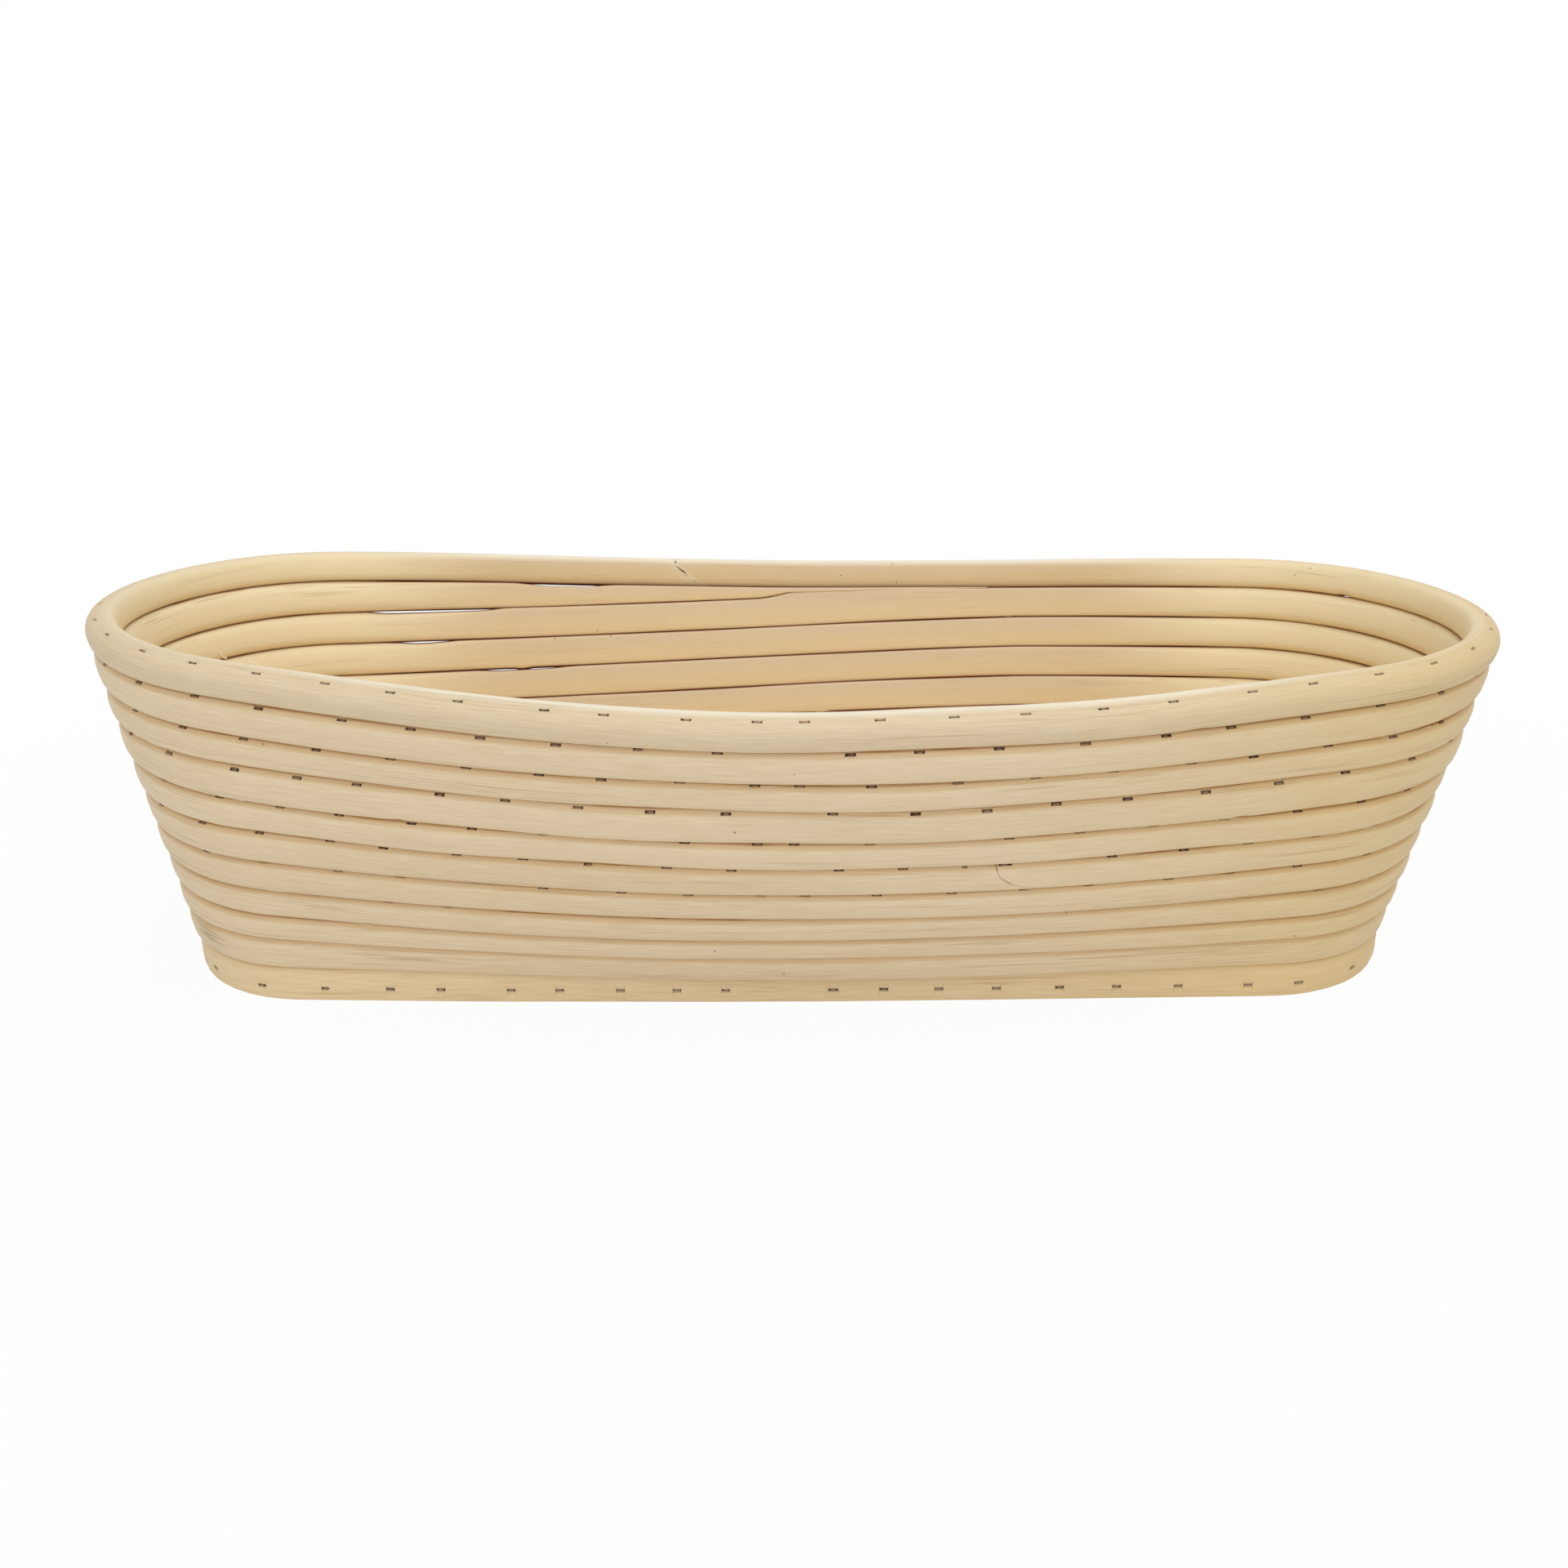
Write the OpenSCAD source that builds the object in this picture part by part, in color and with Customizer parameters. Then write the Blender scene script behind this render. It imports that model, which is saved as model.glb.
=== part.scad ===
// Oval proofing basket, wound from round rattan cane and fastened with wire staples.
// The frame has its origin on the table under the middle of the rim, X along the basket and Z up.
// A turn is counted from the middle of the back, clockwise as seen from above.
// A level is counted in turns of cane above the foot hoop, along the slope of the wall.

/* [Cane] */
// Diameter of the rattan cane
cane_d = 8.5; // [7:0.1:11]
// Free space between one turn of cane and the next
cane_gap = 0.8; // [0.7:0.05:1]

/* [Base] */
// Distance between the middles of the two end curves of the base
base_length = 254.2; // [160:0.2:400]
// Turns of cane between the core cane and the foot hoop
base_turns = 3; // [2:1:5]
// Height of the underside of the base cane above the table
base_lift = 0.1; // [0.1:0.1:3]
// How far the long sides of the foot swell beyond the width of its end curves
foot_swell = 2; // [1:0.5:5]
// Depth of the flat on the underside of the foot hoop
foot_flat = 0.85; // [0.5:0.05:1.5]

/* [Wall] */
// Turns of cane between the foot hoop and the rim hoop
wall_turns = 9; // [5:1:12]
// Outward lean of the long sides at the foot, in degrees
side_lean_foot = 31; // [15:0.5:40]
// Outward lean of the long sides at the rim, in degrees
side_lean_rim = 20.5; // [10:0.5:40]
// Outward lean of the two ends, in degrees
end_lean = 10; // [0:0.1:20]
// How far the long sides of the rim swell beyond the width of its end curves
side_swell = 16.6; // [10:0.2:30]
// Extra rise of each turn where the long sides meet the ends
shoulder_rise = 0.15; // [0.1:0.05:0.5]
// How far the rim rises above level at the left end and falls below it at the right
rim_tilt = 3.3; // [0:0.1:6]
// How far the foot sits to the left of the middle of the rim
foot_shift = 2.4; // [0:0.1:6]

/* [Cane ends and joints] */
// Where a turn starts to climb to the next level, as a share of a turn before the middle of the back
climb_start = 0.095; // [0.06:0.005:0.2]
// Where it has climbed, as a share of a turn after the middle of the back
climb_end = 0.025; // [0:0.005:0.1]
// Share of the climb at which a tapered cane end is cut off
taper_cut = 0.2; // [0.2:0.01:0.4]
// Turn at which the lower wall cane ends and the upper one starts
wall_joint = 4.458; // [3.3:0.001:4.8]
// Where the two ends of the rim hoop meet, as a share of a turn before the middle of the back
rim_joint = 0.022; // [0:0.001:0.08]
// Turn at which the two ends of the foot hoop meet
foot_joint = 0.498; // [0.45:0.001:0.55]
// Length of a slanted joint along the cane
scarf_length = 11; // [6:0.5:20]
// Free space in a slanted joint
scarf_gap = 0.5; // [0.3:0.1:1]

/* [Staples] */
// Width of a staple's crown
staple_crown = 2.3; // [2:0.1:5]
// Thickness of the staple wire
staple_wire = 0.6; // [0.5:0.1:1]
// Length of a staple's legs
staple_leg = 12; // [10:0.5:14]
// Length of the legs of the staples in the base
base_staple_leg = 10; // [9.5:0.1:10.5]
// Distance from one staple to the next along the cane
staple_spacing = 17; // [12:0.5:40]
// Distance from one staple to the next on the base
base_staple_spacing = 34; // [20:1:60]
// How far a crown on the wall sits outward from the top of its cane, in degrees
staple_slant = 22; // [15:1:60]
// How far a crown on the rim sits outward from the top of the rim, in degrees
rim_staple_slant = 10; // [0:1:40]
// How far a crown on the foot hoop sits above the middle of its outer face, in degrees
foot_staple_slant = 12; // [0:1:45]

/* [Hidden] */
// Sides of a cane's section and steps of a quarter turn, on the long side and on the end
cane_sides = 8;
side_steps = 4;
end_steps = 5;
// Share of a quarter turn that runs along the long side
side_share = 0.375;
// Rings of points closer than this share of a turn to a cane's end are left out
least_step = 0.008;
// Rings on either side of the place one turn on that the least gap is measured to
gap_window = 3;
// Where the first staple lies, as a share of the distance between staples, on even and on odd levels
staple_offsets = [0.25, 0.75];
// How early up the wall the long sides swell
swell_growth = 0.7;
// Step in levels used to find the slope of the wall
slope_step = 0.01;

cane_r = cane_d / 2;
pitch = cane_d + cane_gap;
foot_half_width = pitch * (base_turns + 1);
foot_end_r = foot_half_width - foot_swell;
foot_half_length = base_length / 2 + foot_end_r;
foot_z = cane_r - foot_flat;
base_z = cane_r + base_lift;
rim_level = wall_turns + 1;

cane_colour = "#d9c49c";
foot_colour = "#c9b083";
staple_colour = "#8a6547";

wall_staple_nodes = [for (n = [1:wall_turns]) str("wall_staples_", n)];

// Profile of the wall at a level
function mean_side_lean(level) =
    side_lean_foot + (side_lean_rim - side_lean_foot) * level / (2 * rim_level);
function half_width(level) = foot_half_width + pitch * level * sin(mean_side_lean(level));
function half_length(level) = foot_half_length + pitch * level * sin(end_lean);
function side_height(level) = foot_z + pitch * level * cos(mean_side_lean(level));
function end_height(level) = foot_z + pitch * level * cos(end_lean);
function swell(level) =
    foot_swell + (side_swell - foot_swell) * pow(max(level, 0) / rim_level, swell_growth);

// Quarter of an oval made of two arcs, from the middle of a long side (share 0) to an end (share 1).
// Inset draws the oval in by the same distance all round
function end_radius(level) = half_width(level) - swell(level);
function side_radius(level) =
    (pow(half_length(level) - end_radius(level), 2) + pow(half_width(level), 2) - pow(end_radius(level), 2))
    / (2 * swell(level));
function arc_angle(level) =
    atan2(side_radius(level) - half_width(level), half_length(level) - end_radius(level));
function oval_quarter(level, share, inset) =
    let (arc = arc_angle(level), side_r = side_radius(level) - inset, end_r = end_radius(level) - inset)
    share < side_share
        ? let (angle = 90 - (90 - arc) * share / side_share)
          [side_r * cos(angle), half_width(level) - inset + side_r * (sin(angle) - 1)]
        : let (angle = arc * (1 - share) / (1 - side_share))
          [half_length(level) - end_radius(level) + end_r * cos(angle), end_r * sin(angle)];

// On the base a level counts turns from the core cane, inside the oval of the foot hoop
function base_inset(level) = pitch * (base_turns + 1 - level);

// A turn as its share of a whole turn, its quarter and the share of that quarter
function turn_share(turn) = turn - floor(turn);
function turn_quarter(turn) = floor(4 * turn_share(turn));
function quarter_share(turn) =
    let (part = 4 * turn_share(turn) - turn_quarter(turn))
    turn_quarter(turn) % 2 == 0 ? part : 1 - part;
function mirrored(point, quarter) =
    [quarter < 2 ? point.x : -point.x, quarter == 0 || quarter == 3 ? point.y : -point.y];

// Middle of the cane at a level and a turn, on the wall and on the base
function wall_point(level, turn) =
    let (
        plan = mirrored(oval_quarter(level, quarter_share(turn), 0), turn_quarter(turn)),
        reach = plan.x / half_length(level),
        end_share = reach * reach,
        rise = side_height(level) * (1 - end_share) + end_height(level) * end_share
            + shoulder_rise * level * 4 * end_share * (1 - end_share))
    [plan.x - foot_shift * (1 - level / rim_level), plan.y, rise - rim_tilt * reach * level / rim_level];
function base_point(level, turn) =
    let (plan = mirrored(oval_quarter(0, quarter_share(turn), base_inset(level)), turn_quarter(turn)))
    [plan.x - foot_shift, plan.y, base_z];
function cane_point(on_wall, level, turn) = on_wall ? wall_point(level, turn) : base_point(level, turn);

// Climb from one level to the next at the back, from 0 to 1
function ease(share) = (share + share * share * (3 - 2 * share)) / 2;
function climb(turn) =
    ease(max(0, min(1, (turn - round(turn) + climb_start) / (climb_start + climb_end))));

// Level and thickness of a wound cane, whose first and last stretch taper to fill the climb
function wound_level(turn, turns) =
    round(turn) <= 0 ? 0.5 + climb(turn) / 2
    : round(turn) >= turns ? turns + climb(turn) / 2
    : round(turn) + climb(turn);
function wound_thickness(turn, turns) =
    (round(turn) <= 0 ? climb(turn) : round(turn) >= turns ? 1 - climb(turn) : 1) * pitch - cane_gap;
function first_turn() = taper_cut * (climb_start + climb_end) - climb_start;
function last_turn(turns) = turns + climb_end - taper_cut * (climb_start + climb_end);

// Turns at which a cane has a ring of points
quarter_stops = concat(
    [for (i = [0:side_steps - 1]) side_share * i / side_steps],
    [for (i = [0:end_steps - 1]) side_share + (1 - side_share) * i / end_steps]);
tip_stops = concat([0], [for (i = [len(quarter_stops) - 1:-1:1]) 1 - quarter_stops[i]]);
loop_stops = [for (q = [0:3]) for (s = q % 2 == 0 ? quarter_stops : tip_stops) (q + s) / 4];
function ring_turns(from, to) = concat(
    [from],
    [for (n = [floor(from):floor(to)]) for (s = loop_stops)
        if (n + s > from + least_step && n + s < to - least_step) n + s],
    [to]);

// Directions at a place on the cane: along it, up to the next turn and out of the surface
function unit(v) = v / norm(v);
function up_slope(on_wall, level, turn) =
    cane_point(on_wall, level + slope_step, turn) - cane_point(on_wall, level - slope_step, turn);
function cane_frame(along, slope) =
    let (ahead = unit(along), up = unit(slope - ahead * (slope * ahead)))
    [ahead, up, cross(up, ahead)];

// One ring of points round the cane. Slant carries the top of the ring forward along the cane
function ring_points(middle, frame, thickness, slant) =
    [for (i = [0:cane_sides - 1])
        let (angle = 360 * i / cane_sides)
        middle + frame[2] * cane_r * cos(angle) + frame[1] * thickness / 2 * sin(angle)
            + frame[0] * slant * sin(angle)];

// Solid cane through rings given as [middle, slope, thickness, slant, shift along the cane]
module cane(rings) {
    count = len(rings);
    points = [for (i = [0:count - 1])
        let (
            ring = rings[i],
            along = rings[min(i + 1, count - 1)][0] - rings[max(i - 1, 0)][0],
            frame = cane_frame(along, ring[1]))
        each ring_points(ring[0] + frame[0] * ring[4], frame, ring[2], ring[3])];
    walls = [for (i = [0:count - 2]) for (j = [0:cane_sides - 1])
        let (a = i * cane_sides + j, b = i * cane_sides + (j + 1) % cane_sides)
        each [[a, a + cane_sides, b], [b, a + cane_sides, b + cane_sides]]];
    last = (count - 1) * cane_sides;
    ends = [for (j = [1:cane_sides - 2]) each [[0, j, j + 1], [last, last + j + 1, last + j]]];
    polyhedron(points, concat(walls, ends), convexity = 20);
}

// Rings of a wound cane between two turns. Each end is square, or slanted and drawn back for a joint
function wound_ring(on_wall, turns, turn, slant, shift) =
    let (level = wound_level(turn, turns))
    [cane_point(on_wall, level, turn), up_slope(on_wall, level, turn), wound_thickness(turn, turns),
     slant, shift];
function wound_rings(on_wall, turns, from, to, first_slant = 0, first_shift = 0, last_slant = 0) =
    let (stops = ring_turns(from, to), last = len(stops) - 1)
    [for (i = [0:last])
        wound_ring(on_wall, turns, stops[i],
            i == 0 ? first_slant : i == last ? last_slant : 0,
            i == 0 ? first_shift : 0)];
// A hoop stays on one level, and both its ends are slanted alike. The foot hoop stands upright
function hoop_rings(level, from, slant) =
    let (stops = ring_turns(from, from + 1), last = len(stops) - 1)
    [for (i = [0:last])
        [wall_point(level, stops[i]), level == 0 ? [0, 0, 1] : up_slope(true, level, stops[i]), cane_d,
         i == 0 || i == last ? slant : 0, i == 0 ? scarf_shift : 0]];

// Shift along the cane that leaves the free space of a slanted joint
scarf_shift = scarf_gap * norm([cane_d, scarf_length]) / cane_d;

// Least gap of a winding to itself, from each ring to the stretches of cane one turn on
function stretch_gap(ring, first, second) =
    let (
        along = second[0] - first[0],
        share = max(0, min(1, (ring[0] - first[0]) * along / (along * along))),
        thickness = first[2] + (second[2] - first[2]) * share)
    norm(ring[0] - first[0] - along * share) - (ring[2] + thickness) / 2;
function least_gap(rings) =
    let (loop = len(loop_stops))
    min([for (i = [0:len(rings) - 1]) for (j = [i + loop - gap_window:i + loop + gap_window])
        if (j + 1 < len(rings)) stretch_gap(rings[i], rings[j], rings[j + 1])]);

base_rings = wound_rings(false, base_turns, first_turn(), last_turn(base_turns));
wall_rings = wound_rings(true, wall_turns, first_turn(), last_turn(wall_turns));
echo(least_gap_of_base_cane = least_gap(base_rings));
echo(least_gap_of_wall_canes = least_gap(wall_rings));

// Core cane, shaved towards its ends to fill the room that the first turn leaves it
core_half_length = base_length / 2 - cane_d;
function core_room(x) =
    let (turn_r = side_radius(0) - base_inset(1))
    pitch - turn_r + sqrt(turn_r * turn_r - x * x) - cane_r - cane_gap;
core_rings = [for (i = [-side_steps:side_steps])
    let (x = core_half_length * i / side_steps)
    [[x - foot_shift, 0, base_z], [0, 1, 0], 2 * core_room(x), 0, 0]];

// Length of cane in a quarter turn, and the share of the quarter at a run along it
function arc_length(radius, angle) = radius * angle * PI / 180;
function side_run(on_wall, level) =
    on_wall ? arc_length(side_radius(level), 90 - arc_angle(level))
    : arc_length(side_radius(0) - base_inset(level), 90 - arc_angle(0));
function end_run(on_wall, level) =
    on_wall ? arc_length(end_radius(level), arc_angle(level))
    : arc_length(end_radius(0) - base_inset(level), arc_angle(0));
function quarter_run(on_wall, level) = side_run(on_wall, level) + end_run(on_wall, level);
function run_share(on_wall, level, run) =
    let (side = side_run(on_wall, level))
    run < side ? side_share * run / side
    : side_share + (1 - side_share) * (run - side) / end_run(on_wall, level);

// Runs along a quarter turn at which staples lie, spread evenly over all of it or stepped off from the
// middle of the long side. Every second level is offset, so that no staple meets the one below it
function even_runs(on_wall, level) =
    let (run = quarter_run(on_wall, level), count = max(1, round(run / staple_spacing)))
    [for (i = [0:count - 1]) run * (i + staple_offsets[level % 2]) / count];
function stepped_runs(level) =
    [for (run = [base_staple_spacing * staple_offsets[level % 2]:base_staple_spacing:side_run(false, level)])
        run];
function staple_turns(on_wall, level, runs) =
    [for (q = [0:3]) for (run = runs)
        let (share = run_share(on_wall, level, run))
        (q + (q % 2 == 0 ? share : 1 - share)) / 4];

// Staple with the top of its crown at the origin, its crown along X and its legs down Y
module staple(leg) {
    half = staple_crown / 2;
    inner = half - staple_wire;
    linear_extrude(staple_wire, center = true)
        polygon([[-half, 0], [half, 0], [half, -leg], [inner, -leg], [inner, -staple_wire],
                 [-inner, -staple_wire], [-inner, -leg], [-half, -leg]]);
}

// Staple set into a cane with its legs towards a point in the cane that it is fastened to
module set_staple(middle, frame, thickness, slant, target, leg) {
    crown = middle + frame[1] * thickness / 2 * cos(slant) + frame[2] * cane_r * sin(slant);
    back = crown - target;
    out = unit(back - frame[0] * (back * frame[0]));
    side = cross(frame[0], out);
    multmatrix([[frame[0].x, out.x, side.x, crown.x],
                [frame[0].y, out.y, side.y, crown.y],
                [frame[0].z, out.z, side.z, crown.z]])
        staple(leg);
}

// Frame of a cane that stays on one level
function level_frame(on_wall, level, turn) =
    cane_frame(
        cane_point(on_wall, level, turn + slope_step) - cane_point(on_wall, level, turn - slope_step),
        up_slope(on_wall, level, turn));

// Staples of one turn of a wound cane, where the cane is thick enough to hold one
module wound_staples(on_wall, turns, course, runs, slant, leg) {
    for (place = staple_turns(on_wall, course, runs)) {
        turn = course - 1 + place + (place < climb_end ? 1 : 0);
        level = wound_level(turn, turns);
        thickness = wound_thickness(turn, turns);
        if (thickness > cane_r)
            set_staple(cane_point(on_wall, level, turn), level_frame(on_wall, level, turn), thickness, slant,
                cane_point(on_wall, level - 1, turn), leg);
    }
}

// Straight cane in the middle of the base
module base_core() {
    color(cane_colour) cane(core_rings);
}

// Cane wound flat round the core
module base_cane() {
    color(cane_colour) cane(base_rings);
}

// Hoop round the base that the basket stands on, bent from one cane with a slanted joint at the front.
// Its underside is cut flat
module foot_hoop() {
    block = [2 * (foot_half_length + cane_d), 2 * (foot_half_width + cane_d), cane_d];
    color(foot_colour)
        difference() {
            cane(hoop_rings(0, foot_joint, scarf_length / 2));
            translate([-foot_shift, 0, -cane_d / 2]) cube(block, center = true);
        }
}

// Lower and upper cane of the wall, with a slanted joint between them at the front
module lower_wall_cane() {
    color(cane_colour)
        cane(wound_rings(true, wall_turns, first_turn(), wall_joint, last_slant = scarf_length / 2));
}
module upper_wall_cane() {
    color(cane_colour)
        cane(wound_rings(true, wall_turns, wall_joint, last_turn(wall_turns),
            first_slant = scarf_length / 2, first_shift = scarf_shift));
}

// Hoop along the top edge, bent from one cane with a slanted joint at the back
module rim_hoop() {
    color(cane_colour) cane(hoop_rings(rim_level, -rim_joint, -scarf_length / 2));
}

// Staples that hold each turn of the base to the one inside it, on its straight sides
module base_staples() {
    color(staple_colour)
        for (course = [1:base_turns])
            wound_staples(false, base_turns, course, stepped_runs(course), 0, base_staple_leg);
}

// Staples driven inward through the foot hoop into the base
module foot_staples() {
    level = base_turns + 1;
    lower = [0, 0, foot_z - base_z];
    color(staple_colour)
        for (turn = staple_turns(false, level, even_runs(false, level)))
            set_staple(base_point(level, turn) + lower, level_frame(false, level, turn), cane_d,
                -foot_staple_slant, base_point(level - 1, turn), staple_leg);
}

// Staples that hold one turn of the wall to the turn below it
module wall_staples(course) {
    color(staple_colour)
        wound_staples(true, wall_turns, course, even_runs(true, course), staple_slant, staple_leg);
}

// Staples that hold the rim hoop to the wall
module rim_staples() {
    color(staple_colour)
        for (turn = staple_turns(true, rim_level, even_runs(true, rim_level)))
            set_staple(wall_point(rim_level, turn), level_frame(true, rim_level, turn), cane_d,
                rim_staple_slant, wall_point(rim_level - 1, turn), staple_leg);
}

base_core();
base_cane();
foot_hoop();
lower_wall_cane();
upper_wall_cane();
rim_hoop();
base_staples();
foot_staples();
for (course = [1:wall_turns])
    wall_staples(course);
rim_staples();
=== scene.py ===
# %% [markdown]
# # A proofing basket wound from rattan cane
# Bread dough rises in this basket. It is one long oval bowl, wound from round rattan cane and held
# together by small wire staples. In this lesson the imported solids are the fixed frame, and each cane
# is modelled again over its solid with the bends, dents, fibres and stains of the real material.

# %% Load the frame
import math

import bpy
import numpy as np
from mathutils import Matrix, Vector


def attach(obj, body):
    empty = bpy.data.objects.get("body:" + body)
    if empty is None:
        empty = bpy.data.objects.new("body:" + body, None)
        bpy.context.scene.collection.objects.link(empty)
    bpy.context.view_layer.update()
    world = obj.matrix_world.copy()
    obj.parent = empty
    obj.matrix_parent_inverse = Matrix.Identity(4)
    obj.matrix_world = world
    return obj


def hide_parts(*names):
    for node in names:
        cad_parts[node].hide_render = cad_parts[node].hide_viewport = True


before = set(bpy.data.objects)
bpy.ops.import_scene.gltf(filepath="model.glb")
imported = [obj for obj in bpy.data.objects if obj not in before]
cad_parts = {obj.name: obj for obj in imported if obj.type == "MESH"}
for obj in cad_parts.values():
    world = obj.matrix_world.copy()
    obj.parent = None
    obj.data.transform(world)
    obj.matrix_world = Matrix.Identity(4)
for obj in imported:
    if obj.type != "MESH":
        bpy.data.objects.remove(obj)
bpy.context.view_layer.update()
bpy.ops.object.select_all(action="DESELECT")
print("nodes in the frame:", len(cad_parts))

# %% [markdown]
# ## Camera
# The camera stands in front of the long side, a little above the rim, and looks down into the bowl.
# Its place and focal length come from matching the seams between the canes with the photograph, so
# they are plain measured values. The image is square.

# %% Camera
image_size = 1920
focal_pixels = 1794.9
camera_distance = 0.3817
camera_height = 0.1918
camera_aside = -0.0018
camera_tilt = math.radians(20.97)
camera_roll = math.radians(-0.89)
camera_turn = math.radians(1.36)

swing = Matrix.Rotation(camera_turn, 4, "Z")
stand = Matrix.Translation((camera_aside, -camera_distance, camera_height))
aim = Matrix.Rotation(math.radians(90) - camera_tilt, 4, "X")
level_out = Matrix.Rotation(camera_roll, 4, "Z")
bpy.ops.object.camera_add()
camera = bpy.context.object
camera.name = "camera"
camera.matrix_world = swing @ stand @ aim @ level_out
camera.data.lens = camera.data.sensor_width * focal_pixels / image_size
camera.data.clip_start = 0.01
bpy.context.scene.camera = camera
print("lens in mm:", round(camera.data.lens, 2))

# %% [markdown]
# ## Stage and light
# The basket stands on a white table in a bright room with white walls. A wide lamp overhead gives
# the tops of the canes their light, and the white surroundings fill the creases. The table and the
# surroundings show as white to the camera, and the table still takes the soft shadow of the basket.
# Their nodes are placed by two small helpers, which the finishes use later on.

# %% Table, surroundings and lamps
bpy.context.scene.view_settings.view_transform = "Standard"


def add_node(tree, kind, inputs=None, **settings):
    """A node with its settings, and with its inputs set or linked."""
    made = tree.nodes.new(kind)
    for name, value in settings.items():
        setattr(made, name, value)
    for name, value in (inputs or {}).items():
        if isinstance(value, bpy.types.NodeSocket):
            tree.links.new(value, made.inputs[name])
        else:
            made.inputs[name].default_value = value
    return made


def calculate(tree, operation, first, second=0.0):
    return add_node(tree, "ShaderNodeMath", {0: first, 1: second}, operation=operation).outputs[0]


def seen_directly(tree):
    """1 where a ray comes from the camera, a mirror or glass, else 0."""
    path = add_node(tree, "ShaderNodeLightPath").outputs
    seen = path["Is Camera Ray"]
    for name in ("Is Glossy Ray", "Is Transmission Ray"):
        seen = calculate(tree, "MAXIMUM", seen, path[name])
    return seen


room_light = 0.46
world = bpy.data.worlds.new("white_room")
bpy.context.scene.world = world
world.use_nodes = True
room = world.node_tree
room.nodes.clear()
plain_white = (1, 1, 1, 1)
glow = add_node(room, "ShaderNodeBackground", {"Color": plain_white, "Strength": room_light}).outputs[0]
white = add_node(room, "ShaderNodeBackground", {"Color": plain_white}).outputs[0]
choose = add_node(room, "ShaderNodeMixShader", {0: seen_directly(room), 1: glow, 2: white}).outputs[0]
add_node(room, "ShaderNodeOutputWorld", {"Surface": choose})

table_size = 12
table_white = 0.86
table_shadow_kept = 0.05
shadow_near = 0.17
shadow_far = 0.42
bpy.ops.mesh.primitive_plane_add(size=table_size)
table = bpy.context.object
table.name = "table"
table_finish = bpy.data.materials.new("white_table")
table_finish.use_nodes = True
top = table_finish.node_tree
top.nodes.clear()
paint = add_node(top, "ShaderNodeBsdfDiffuse", {"Color": (table_white, table_white, table_white, 1)})
shine = add_node(top, "ShaderNodeEmission")
table_place = add_node(top, "ShaderNodeTexCoord").outputs["Object"]
away = add_node(top, "ShaderNodeVectorMath", {0: table_place}, operation="LENGTH").outputs["Value"]
reach = {"Value": away, "From Min": shadow_near, "From Max": shadow_far, "To Min": 1 - table_shadow_kept}
fade = add_node(top, "ShaderNodeMapRange", reach).outputs["Result"]
shown = calculate(top, "MULTIPLY", seen_directly(top), fade)
blend = add_node(top, "ShaderNodeMixShader", {0: shown, 1: paint.outputs[0], 2: shine.outputs[0]})
add_node(top, "ShaderNodeOutputMaterial", {"Surface": blend.outputs[0]})
table.data.materials.append(table_finish)


def add_lamp(name, place, target, size, power):
    """A square lamp that faces the target."""
    bpy.ops.object.light_add(type="AREA", location=place)
    lamp = bpy.context.object
    lamp.name = name
    lamp.data.shape = "SQUARE"
    lamp.data.size = size
    lamp.data.energy = power
    lamp.rotation_euler = (Vector(target) - Vector(place)).to_track_quat("-Z", "Y").to_euler()


basket_middle = (0, 0, 0.05)
# Name, place, size in metres and power in watts.
lamps = (
    ("overhead_lamp", (0.4, 0, 1.6), 1.6, 8),
    ("front_lamp", (0.1, -1.0, 1.4), 1.2, 6.7),
    ("low_lamp", (-0.5, -2.0, 0.45), 1.6, 7.4),
)
for lamp_name, lamp_place, lamp_size, lamp_power in lamps:
    add_lamp(lamp_name, lamp_place, basket_middle, lamp_size, lamp_power)

# %% [markdown]
# ## The line of the cane
# One cane is wound on from turn to turn, so its middle line follows a rule. A turn is counted from
# the middle of the back, clockwise from above, and a level counts turns of cane up the wall from the
# foot hoop. Each level is an oval of two wide and two tight arcs, and the wall leans out more on the
# long sides than at the ends. These sizes, in metres, are those that the solids were made with. Only
# the climb at the back ends a little later here, so that the seams inside rise in one steady line.

# %% Sizes of the winding
cane_pitch = 0.0093
cane_solid = 0.0085
foot_flat = 0.00085
base_turns = 3
wall_turns = 9
rim_level = wall_turns + 1
base_length = 0.2542
base_height = 0.00435
foot_height = cane_solid / 2 - foot_flat
foot_half_width = cane_pitch * (base_turns + 1)
foot_swell = 0.002
rim_swell = 0.0166
swell_growth = 0.7
foot_half_length = base_length / 2 + foot_half_width - foot_swell
lean_foot = math.radians(31)
lean_rim = math.radians(20.5)
lean_end = math.radians(10)
shoulder_rise = 0.00015
rim_tilt = 0.0033
foot_shift = 0.0024
side_share = 0.375
climb_start = 0.095
climb_end = 0.05
next_course_to = 0.025
tip_cut = 0.05
tip_turn = 8.005
tip_reach = 0.012
bare_tip = 0.036
wall_joint = 4.458
rim_joint = 0.022
foot_joint = 0.498
scarf_length = 0.011


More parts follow.
